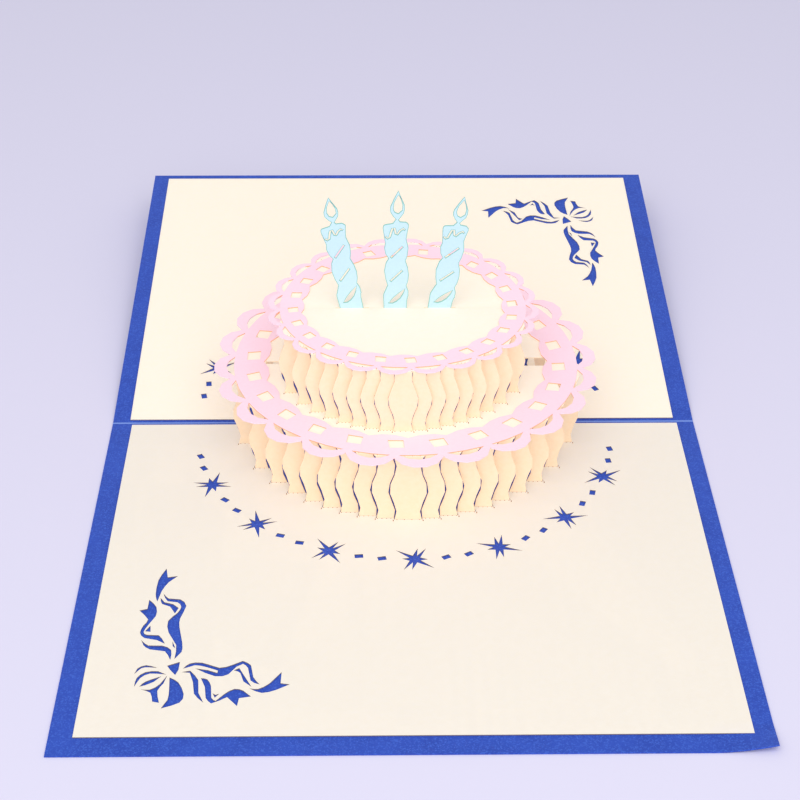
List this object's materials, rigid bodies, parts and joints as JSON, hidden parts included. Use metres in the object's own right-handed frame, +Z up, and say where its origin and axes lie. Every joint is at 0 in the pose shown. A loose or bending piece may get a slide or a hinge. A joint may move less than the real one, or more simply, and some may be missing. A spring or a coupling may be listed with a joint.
{
  "type": "pop up card",
  "caption": "Open pop up greeting card with a slatted two tier paper cake, pierced paper rings, flat paper candles and cut out bows and stars on both pages.",
  "frame": {"origin": "middle of the lying card's outline, on the surface it lies on; the spine is 0.3 mm behind it", "axes": "+X along the spine to the reader's right, +Y from the reader towards the back panel, +Z up"},
  "size_m": [0.18, 0.2994, 0.0815],
  "materials": {
    "cover_card": "blue pearl card, lightly speckled",
    "leaf_paper": "smooth cream paper",
    "ring_card": "pale pink card with scorched cut edges",
    "candle_card": "pale blue card"
  },
  "bodies": {
    "root": {"cover": "cover_card", "front_leaf": "leaf_paper", "back_leaf": "leaf_paper", "lower_ring": "ring_card", "upper_ring": "ring_card", "left_candle": "candle_card", "middle_candle": "candle_card", "right_candle": "candle_card"}
  },
  "joints": []
}
